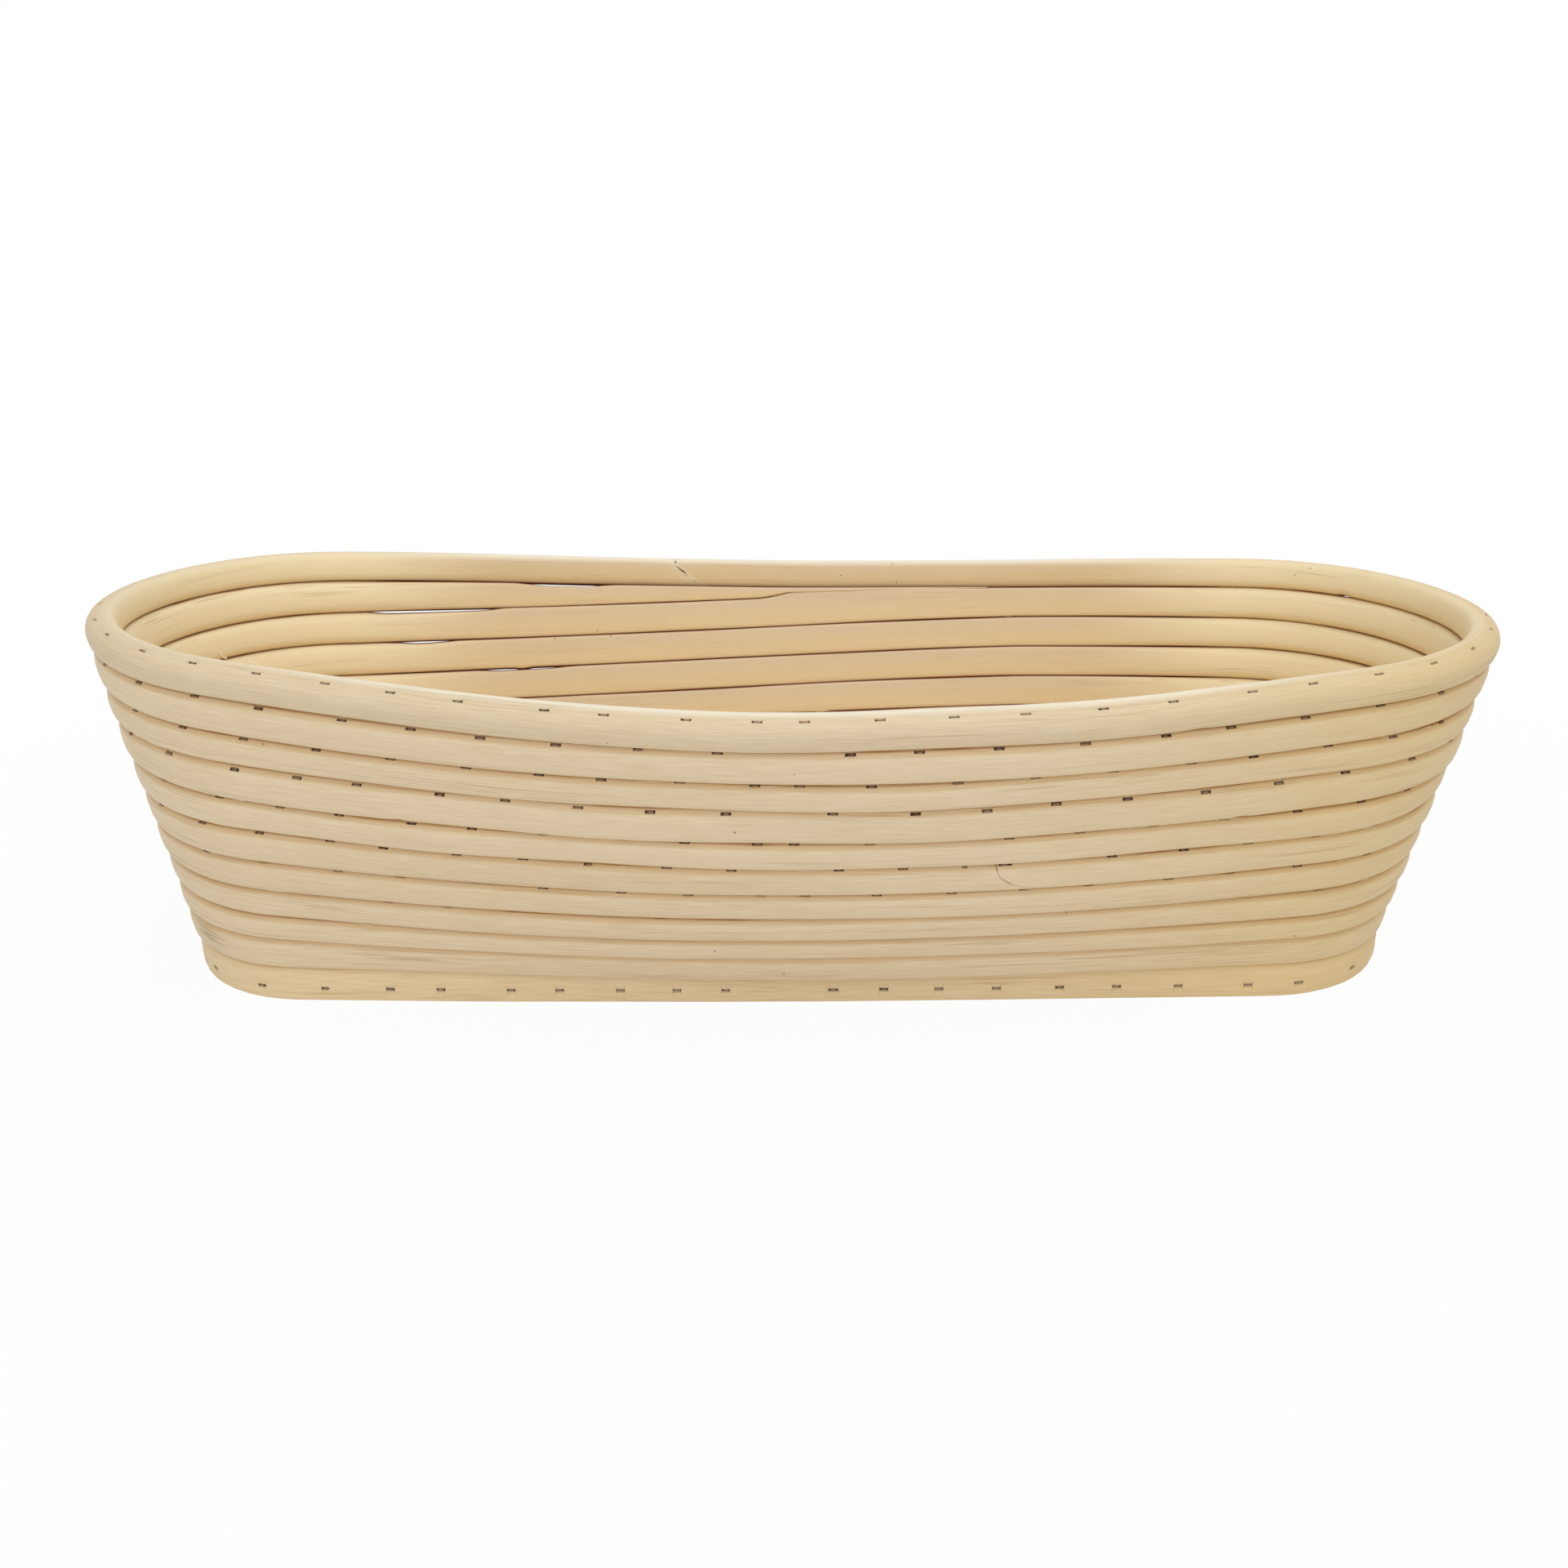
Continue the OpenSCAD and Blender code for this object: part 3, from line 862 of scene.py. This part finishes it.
def select_faces(mesh, test):
    """Selects the faces whose middle and normal pass the test, with the mesh in edit mode."""
    bpy.ops.mesh.select_all(action="DESELECT")
    bpy.ops.object.mode_set(mode="OBJECT")
    for face in mesh.polygons:
        face.select = test(face.center, face.normal)
    bpy.ops.object.mode_set(mode="EDIT")


def draw_out(step):
    bpy.ops.mesh.extrude_region_move(TRANSFORM_OT_translate={"value": step})


def model_staple(leg):
    """Points and faces of a staple, its crown along X, its legs down Y and its top at the origin."""
    bpy.ops.object.select_all(action="DESELECT")
    bpy.ops.mesh.primitive_cube_add(size=1)
    staple = bpy.context.object
    inner = staple_crown - 2 * staple_wire
    staple.scale = (inner, staple_flat, staple_wire)
    staple.location = (0, -staple_flat / 2, 0)
    bpy.ops.object.transform_apply(location=True, rotation=False, scale=True)
    bpy.ops.object.mode_set(mode="EDIT")
    bpy.ops.mesh.select_mode(type="FACE")
    for side in (-1, 1):
        select_faces(staple.data, lambda middle, normal: normal.x * side > 0.9)
        draw_out((side * staple_wire, 0, 0))
        select_faces(staple.data, lambda middle, normal: normal.y < -0.9 and middle.x * side > inner / 2)
        draw_out((0, staple_flat - leg, 0))
    bpy.ops.mesh.select_mode(type="EDGE")
    bpy.ops.mesh.select_all(action="DESELECT")
    bpy.ops.object.mode_set(mode="OBJECT")
    for edge in staple.data.edges:
        first, second = (staple.data.vertices[index].co for index in edge.vertices)
        edge.select = first.y > -1e-6 and second.y > -1e-6 and abs(first.x) + abs(second.x) > inner / 2
    bpy.ops.object.mode_set(mode="EDIT")
    bpy.ops.mesh.bevel(offset=corner_cut, segments=1)
    bpy.ops.mesh.select_all(action="SELECT")
    bpy.ops.mesh.normals_make_consistent(inside=False)
    bpy.ops.object.mode_set(mode="OBJECT")
    points = np.array([vertex.co for vertex in staple.data.vertices])
    faces = [list(face.vertices) for face in staple.data.polygons]
    bpy.data.objects.remove(staple)
    return points, faces


wall_staple = model_staple(staple_leg)
base_staple = model_staple(base_staple_leg)
print("faces of a staple:", len(wall_staple[1]))

# %% Staples in their places
staple_twist = math.radians(6)
crown_sink = 0.00015
age_spread = 0.25


def strayed(turn, cane_names, high, ahead, up, out):
    """How far the canes have strayed at each turn. Of two wall canes the upper follows the joint."""
    shift = np.zeros_like(up)
    for name in cane_names:
        turns, runs, seed, slants, lag = paths[name]
        held = (turn >= turns[0]) & (turn <= turns[-1])
        run = np.interp(turn, turns, runs)
        slide = end_slide(run, runs[-1], high, slants, lag)
        shift[held] = (wander(run, seed, up, out) + ahead * slide[:, None])[held]
    return shift


def staple_places(cane_names, line, level_at, share_at, pairs, target, section=hardly_pressed,
                  wide=cane_wide, upright=False, lift_at=no_lift, gaps=(), top=math.inf):
    """Crown, direction along the cane and direction away from the legs at each pair of turn and angle.

    The legs point at the target, and no cane rises more than top above its middle.
    """
    turn, angle = np.array(pairs).T
    middle, ahead, up, out, room = cane_frames(line, level_at, turn, upright)
    half_top = np.minimum(share_at(turn) * room / 2 + lift_at(turn) - opened(turn, gaps), top)
    high, far = surface_place(angle, half_top, np.full_like(turn, wide / 2), section)
    shift = strayed(turn, cane_names, high / half_top, ahead, up, out)
    crown = middle + shift + up * high[:, None] + out * far[:, None]
    aim_at = target(turn)
    back = unit(crown - aim_at - ahead * dots(crown - aim_at, ahead))
    return crown - back * crown_sink, ahead, back


def copied_faces(faces, point_count, copies):
    """Faces of so many copies of a shape, whose points follow each other."""
    return [[index + copy * point_count for index in face] for copy in range(copies) for face in faces]


def set_staples(name, shape, crown, ahead, back):
    """Copies of one staple at their places, as one piece that stands for the node of that name."""
    points, faces = shape
    twist = chance.uniform(-staple_twist, staple_twist, len(crown))[:, None]
    side = np.cross(ahead, back)
    along = ahead * np.cos(twist) + side * np.sin(twist)
    side = np.cross(along, back)
    placed = (crown[:, None] + along[:, None] * points[None, :, :1]
              + back[:, None] * points[None, :, 1:2] + side[:, None] * points[None, :, 2:])
    piece = make_piece(name, placed.reshape(-1, 3), copied_faces(faces, len(points), len(crown)))
    toward_end = np.abs(points[:, 0]) / (staple_crown / 2)
    keep_on_points(piece, "toward_end", np.tile(toward_end, (len(crown), 1)))
    age = chance.uniform(-age_spread, age_spread, len(crown))[:, None]
    keep_on_points(piece, "age", np.broadcast_to(age, placed.shape[:2]))
    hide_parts(name)
    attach(piece, "root")
    return piece


staples = []
for course, pairs in wall_staple_pairs.items():
    places = staple_places(["lower_wall_cane", "upper_wall_cane"], wall_line, wall_level, wall_share, pairs,
                           lambda turn: wall_line(wall_level(turn) - 1, turn), pressed,
                           lift_at=seam_lift, gaps=daylight)
    staples.append(set_staples(f"wall_staples_{course}", wall_staple, *places))
places = staple_places(["rim_hoop"], wall_line, on_rim, full_share, rim_dents,
                       lambda turn: wall_line(on_rim(turn) - 1, turn), rim_pressed,
                       wide=rim_wide, top=cane_solid / 2)
staples.append(set_staples("rim_staples", wall_staple, *places))
places = staple_places(["foot_hoop"], wall_line, on_foot, full_share, foot_dents,
                       lambda turn: base_line(on_foot(turn) + base_turns, turn), stood_on,
                       wide=foot_wide, upright=True, lift_at=foot_lift)
staples.append(set_staples("foot_staples", wall_staple, *places))
places = staple_places(["base_cane"], base_line, base_level, base_share, base_staple_pairs,
                       lambda turn: base_line(base_level(turn) - 1, turn))
staples.append(set_staples("base_staples", base_staple, *places))
print("staples:", sum(len(piece.data.vertices) for piece in staples) // len(wall_staple[0]))

# %% [markdown]
# ## Loose fibres
# Here and there a fibre has come off a cane and stands a little away from it, most of all along the
# edges of the canes and on the rim. Each one is a thin tapered thread of three sides with its root in
# the cane, and it keeps a place in the straight cane like the canes do.

# %% Threads that stand off the canes
fibre_steps = np.linspace(0, 1, 5)
fibre_corners = np.radians([90, 210, 330])
fibre_root = 0.00012
fibre_taper = 0.85
bare_start = 0.2
edge_kind = (wall_level, (bare_start, wall_turns - bare_start), pressed, cane_wide)
edge_sizes = ((0.0015, 0.005), (0.0001, 0.0006), (0.0001, 0.00022))
rim_kind = (on_rim, (0, 1), rim_pressed, rim_wide)
rim_sizes = ((0.001, 0.003), (0.0001, 0.0007), (0.00008, 0.00016))
# Number, kind of place, angles on the section in degrees, and lengths along and away and thicknesses.
chance_fibres = (
    (100, edge_kind, (105, 140), edge_sizes),
    (100, edge_kind, (-75, -25), edge_sizes),
    (24, rim_kind, (-70, 70), rim_sizes),
)
# Turn, angle on the section in degrees, length along the cane and away from it in mm, thickness in mm.
placed_fibres = (
    (0.5898, -25, 2.0, 1.8, 0.32),
    (0.5898, -25, 0.3, 2.6, 0.3),
    (0.5845, -30, 3.0, 1.2, 0.3),
    (0.0225, -60, -1.4, 0.8, 0.25),
    (0.0215, -70, 1.1, 0.9, 0.25),
    (0.9985, -80, 1.6, 1.8, 0.25),
)


def grow_fibre(level, turn, angle, along, away, thick, section, wide):
    """Points of one thread: its root is on the edge of a section, and it bends away as it goes on."""
    at = np.array([turn])
    middle, ahead, up, out, room = (part[0] for part in cane_frames(wall_line, level, at))
    above, below, inside = section
    power = inside if math.sin(angle) < 0 else (above if math.cos(angle) > 0 else below)
    high = room / 2 * squared_up(math.cos(angle), power)
    far = wide / 2 * squared_up(math.sin(angle), power)
    outward = unit(up * high + out * far)
    aside = np.cross(ahead, outward)
    root = middle + up * high + out * far - outward * fibre_root
    path = root + ahead * along * fibre_steps[:, None] + outward * away * fibre_steps[:, None] ** 2
    radius = thick / 2 * (1 - fibre_taper * fibre_steps)
    around = outward * np.sin(fibre_corners)[:, None] + aside * np.cos(fibre_corners)[:, None]
    return path[:, None] + radius[:, None, None] * around


threads = []
for count, (level, turns, section, wide), angles, (lengths, stand_offs, thicknesses) in chance_fibres:
    for _ in range(count):
        turn = chance.uniform(*turns)
        angle = math.radians(chance.uniform(*angles))
        along = chance.choice([-1, 1]) * chance.uniform(*lengths)
        away = chance.uniform(*stand_offs)
        thick = chance.uniform(*thicknesses)
        threads.append(grow_fibre(level, turn, angle, along, away, thick, section, wide))
for turn, angle, along, away, thick in placed_fibres:
    threads.append(grow_fibre(
        on_rim, turn, math.radians(angle), along / 1000, away / 1000, thick / 1000, rim_pressed, rim_wide))
thread_points = np.array(threads)
one_thread = tube_faces(len(fibre_steps), len(fibre_corners))
per_thread = len(fibre_steps) * len(fibre_corners)
thread_faces = copied_faces(one_thread, per_thread, len(threads))
loose_fibres = make_piece("loose_fibres", thread_points.reshape(-1, 3), thread_faces)
keep_on_points(loose_fibres, "straight", thread_points.reshape(len(threads), -1, 3))
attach(loose_fibres, "root")
print("loose fibres:", len(threads))

# %% [markdown]
# ## Finish of the rattan
# The heart of the rattan vine is pale and matte, with fine fibres all along it. Close up there are
# thin ochre lines between the fibres, a few dark specks, and slow changes of tone from one arm's
# length of cane to the next. All of these are stretched noises on the straight cane's coordinates,
# so they bend with the cane. The part that several finishes share is a node group.

# %% Node helpers


def srgb(red, green, blue):
    """A colour as painted on a screen, from 0 to 255, as linear light."""
    share = np.array([red, green, blue]) / 255
    linear = np.where(share <= 0.04045, share / 12.92, ((share + 0.055) / 1.055) ** 2.4)
    return (*linear.tolist(), 1.0)


def between(tree, value, low, high):
    """0 below low, 1 above high, and smooth between."""
    inputs = {"Value": value, "From Min": low, "From Max": high}
    return add_node(tree, "ShaderNodeMapRange", inputs, interpolation_type="SMOOTHSTEP").outputs["Result"]


def weighted_sum(tree, *parts):
    """Sum of values, each times its weight."""
    total = 0.0
    for value, weight in parts:
        total = calculate(tree, "ADD", total, calculate(tree, "MULTIPLY", value, weight))
    return total


def kept(tree, name, output="Fac"):
    """What was kept on the points of the mesh under a name."""
    return add_node(tree, "ShaderNodeAttribute", attribute_name=name).outputs[output]


def mix_colours(tree, share, first, second):
    return add_node(tree, "ShaderNodeMix", {0: share, 6: first, 7: second}, data_type="RGBA").outputs[2]


def stretched_noise(tree, place, along, across, detail=2.0):
    """Noise with so many features a metre along the cane and across it."""
    factors = {0: place, 1: (along, across, across)}
    scaled = add_node(tree, "ShaderNodeVectorMath", factors, operation="MULTIPLY")
    inputs = {"Vector": scaled.outputs[0], "Scale": 1.0, "Detail": detail, "Roughness": 0.55}
    return add_node(tree, "ShaderNodeTexNoise", inputs).outputs["Fac"]


# %% Fibres, as a node group
fibres = bpy.data.node_groups.new("rattan_fibres", "ShaderNodeTree")
fibres.interface.new_socket("Place", in_out="INPUT", socket_type="NodeSocketVector")
for output in ("Tone", "Lines", "Specks", "Height"):
    fibres.interface.new_socket(output, in_out="OUTPUT", socket_type="NodeSocketFloat")
place = fibres.nodes.new("NodeGroupInput").outputs["Place"]
thread = stretched_noise(fibres, place, along=110, across=4500, detail=1.0)
streak = stretched_noise(fibres, place, along=50, across=1700)
length_tone = stretched_noise(fibres, place, along=5, across=40, detail=1.0)
patch = between(fibres, stretched_noise(fibres, place, along=14, across=300), low=0.54, high=0.64)
line = stretched_noise(fibres, place, along=36, across=5000, detail=0.0)
lines = calculate(fibres, "MULTIPLY", between(fibres, line, low=0.6, high=0.66), patch)
speck_cells = add_node(
    fibres, "ShaderNodeTexVoronoi", {"Vector": place, "Scale": 230.0}, feature="F1", distance="EUCLIDEAN")
speck_size = between(fibres, speck_cells.outputs["Distance"], low=0.075, high=0.04)
speck_pick = add_node(fibres, "ShaderNodeSeparateColor", {"Color": speck_cells.outputs["Color"]}).outputs[0]
few_cells = calculate(fibres, "GREATER_THAN", speck_pick, 0.94)
specks = calculate(fibres, "MULTIPLY", speck_size, few_cells)
tone = weighted_sum(fibres, (thread, 0.53), (streak, 0.22), (length_tone, 0.25))
height = weighted_sum(fibres, (thread, 1.0), (streak, 0.4), (lines, -0.7))
group_out = fibres.nodes.new("NodeGroupOutput")
for name, value in (("Tone", tone), ("Lines", lines), ("Specks", specks), ("Height", height)):
    fibres.links.new(value, group_out.inputs[name])
print("nodes in the fibre group:", len(fibres.nodes))

# %% [markdown]
# ## Coats of colour on the rattan
# Each finish is built up like a painting, from the plain cane to the marks on top: a darker, yellower
# right end of the basket, a golden inside of painted bounce light with a painted greyer shade on the
# upper part of each band, painted light on the inside of the ends, a painted highlight along the top
# of the rim, torn ends, a stain, the lines between the fibres, a painted shadow under each overhanging
# cane, painted shade in the seams and in the grooves inside, and rust stains with painted shade in the
# dents round the staples. A coat is a mask, a strength and a paint, and a loop mixes them one over the
# other.

# %% Rattan finishes
right_end_yellow = srgb(222, 192, 126)
painted_inner_top_shade = srgb(219, 196, 168)
painted_end_light = srgb(255, 238, 196)
painted_highlight_cane = srgb(254, 245, 222)
torn_fibre = srgb(246, 236, 210)
damp_grey = srgb(164, 142, 92)
speck_brown = srgb(104, 76, 48)
painted_shadow_ochre = srgb(202, 154, 78)
painted_seam_shade = srgb(172, 112, 30)
painted_groove_shade = srgb(124, 46, 14)
dent_stain_and_shade_brown = srgb(72, 42, 30)
cane_rough = 0.42
cane_gloss = 0.35
fibre_bump = 0.25
fibre_height = 0.0002


def make_rattan(name, pale, warm, painted_bounce_gold, line_colour):
    """Rattan in given tones: pale and warm fibres, a painted bounce gold inside, and thin lines between
    fibres.
    """
    finish = bpy.data.materials.new(name)
    finish.use_nodes = True
    tree = finish.node_tree
    shader = tree.nodes["Principled BSDF"]
    straight = kept(tree, "straight", "Vector")
    inner, crease, shaded, high = (kept(tree, mark) for mark in ("inner_side", "crease", "shaded", "high"))
    grain = add_node(tree, "ShaderNodeGroup", {"Place": straight}, node_tree=fibres)
    tone = grain.outputs["Tone"]
    place = add_node(tree, "ShaderNodeTexCoord").outputs["Object"]
    across = add_node(tree, "ShaderNodeSeparateXYZ", {0: place}).outputs["X"]

    # Painted shade: the upper part of each band inside is painted greyer and darker than its lower part.
    inner_top_shade = calculate(tree, "MULTIPLY", inner, between(tree, high, -0.6, 0.9))
    torn = calculate(tree, "MULTIPLY", kept(tree, "frayed"), between(tree, tone, 0.44, 0.58))
    smudge = calculate(tree, "MULTIPLY", kept(tree, "stained"), between(tree, tone, 0.44, 0.56))
    fewer_inside = calculate(tree, "SUBTRACT", 0.38, calculate(tree, "MULTIPLY", inner, 0.25))
    lines = calculate(tree, "MULTIPLY", grain.outputs["Lines"], fewer_inside)
    broken = between(tree, stretched_noise(tree, straight, along=50, across=60, detail=1.0), 0.5, 0.62)
    faint = calculate(tree, "ADD", calculate(tree, "MULTIPLY", broken, 0.4), 0.35)
    # Painted shade deep in the creases of the seams, broken here and there along the cane.
    seam = calculate(tree, "MAXIMUM", between(tree, crease, 0.42, 0.62), between(tree, shaded, 0.78, 0.92))
    seam = calculate(tree, "MULTIPLY", seam, faint)
    # Painted shade in the narrow grooves between the canes inside.
    inner_seam = between(tree, calculate(tree, "ABSOLUTE", high), 0.875, 0.96)
    inner_seam = calculate(tree, "MULTIPLY", inner_seam, between(tree, inner, 0.02, 0.15))
    inner_seam = calculate(tree, "MULTIPLY", inner_seam, between(tree, crease, 0.0, 0.05))
    coats = (
        # A darker, yellower tint towards the right end of the basket, by its place along X.
        (between(tree, across, 0.04, 0.17), 0.5, right_end_yellow),
        # Painted bounce light: the inside is painted golden, as if lit by light thrown back within the
        # bowl.
        (inner, 0.75, painted_bounce_gold),
        (inner_top_shade, 0.65, painted_inner_top_shade),
        # Painted light on the inside of the ends of the basket.
        (kept(tree, "end_inside"), 0.9, painted_end_light),
        # Painted highlight along the top of the rim.
        (kept(tree, "painted_highlight"), 0.8, painted_highlight_cane),
        (torn, 1.0, torn_fibre),
        (smudge, 0.8, damp_grey),
        (lines, 1.0, line_colour),
        (grain.outputs["Specks"], 0.7, speck_brown),
        # Painted shadow: a tan strip under each overhanging cane.
        (between(tree, shaded, 0.1, 0.4), 0.32, painted_shadow_ochre),
        (seam, 1.0, painted_seam_shade),
        (inner_seam, 0.9, painted_groove_shade),
        # Rust stain and painted shade in the dents round the staples.
        (between(tree, kept(tree, "dent"), 0.25, 0.8), 0.85, dent_stain_and_shade_brown),
    )
    colour = mix_colours(tree, between(tree, tone, 0.35, 0.65), pale, warm)
    for mask, strength, paint in coats:
        colour = mix_colours(tree, calculate(tree, "MULTIPLY", mask, strength), colour, paint)
    tree.links.new(colour, shader.inputs["Base Color"])
    rough = calculate(tree, "ADD", calculate(tree, "MULTIPLY", tone, 0.3), cane_rough)
    tree.links.new(rough, shader.inputs["Roughness"])
    shader.inputs["Specular IOR Level"].default_value = cane_gloss
    relief = {"Height": grain.outputs["Height"], "Strength": fibre_bump, "Distance": fibre_height}
    bump = add_node(tree, "ShaderNodeBump", relief)
    tree.links.new(bump.outputs["Normal"], shader.inputs["Normal"])
    return finish


pale_rattan = make_rattan(
    "pale_rattan", srgb(239, 219, 185), srgb(228, 204, 166), srgb(241, 213, 160), srgb(172, 136, 82))
# The foot's finish is painted lighter than the wall's: painted light that makes up for the shade under the
# wall's overhang.
foot_rattan_painted_light = make_rattan(
    "foot_rattan_painted_light", srgb(243, 221, 180), srgb(232, 205, 160), srgb(224, 196, 146), srgb(170, 134, 80))
# The rim's finish is painted darker than the wall's: painted shade that takes off some of the strong light
# from above.
rim_rattan_painted_shade = make_rattan(
    "rim_rattan_painted_shade", srgb(232, 213, 180), srgb(221, 198, 160), srgb(231, 203, 151), srgb(166, 131, 79))
loose_rattan = make_rattan(
    "loose_rattan", srgb(248, 238, 214), srgb(238, 224, 194), srgb(246, 234, 208), srgb(200, 170, 120))
loose_fibres.data.materials.append(loose_rattan)
for piece in canes:
    piece.data.materials.append({foot: foot_rattan_painted_light, rim: rim_rattan_painted_shade}.get(piece, pale_rattan))

# %% [markdown]
# ## Finish of the staples
# The wire is dull steel that the damp of the dough has browned, most of all at the bends, where the
# legs go into the cane. A noise breaks up the edge between grey metal and brown rust, and the rust is
# rougher and no longer metallic. The wire on the rim is brighter and browns less.

# %% Dull wire
wire_metal = 0.4
wire_rough = 0.45
rust_rougher = 0.3


def make_wire(name, metal, rust, rust_from, rust_to):
    """Wire that turns from metal to rust towards the bends of a staple."""
    finish = bpy.data.materials.new(name)
    finish.use_nodes = True
    tree = finish.node_tree
    shader = tree.nodes["Principled BSDF"]
    place = add_node(tree, "ShaderNodeTexCoord").outputs["Object"]
    noise = add_node(tree, "ShaderNodeTexNoise", {"Vector": place, "Scale": 900.0, "Detail": 3.0})
    blotch = calculate(tree, "ADD", noise.outputs["Fac"], kept(tree, "age"))
    rusted = between(tree, calculate(tree, "ADD", kept(tree, "toward_end"), blotch), rust_from, rust_to)
    tree.links.new(mix_colours(tree, rusted, metal, rust), shader.inputs["Base Color"])
    dulled = calculate(tree, "MULTIPLY", rusted, wire_metal)
    tree.links.new(calculate(tree, "SUBTRACT", wire_metal, dulled), shader.inputs["Metallic"])
    rougher = calculate(tree, "MULTIPLY", rusted, rust_rougher)
    tree.links.new(calculate(tree, "ADD", rougher, wire_rough), shader.inputs["Roughness"])
    return finish


browned_wire = make_wire("browned_wire", srgb(150, 122, 96), srgb(54, 30, 22), 0.85, 1.35)
bright_wire = make_wire("bright_wire", srgb(204, 190, 166), srgb(84, 66, 48), 1.05, 1.5)
for piece in staples:
    piece.data.materials.append(bright_wire if piece.name == "rim_staples" else browned_wire)
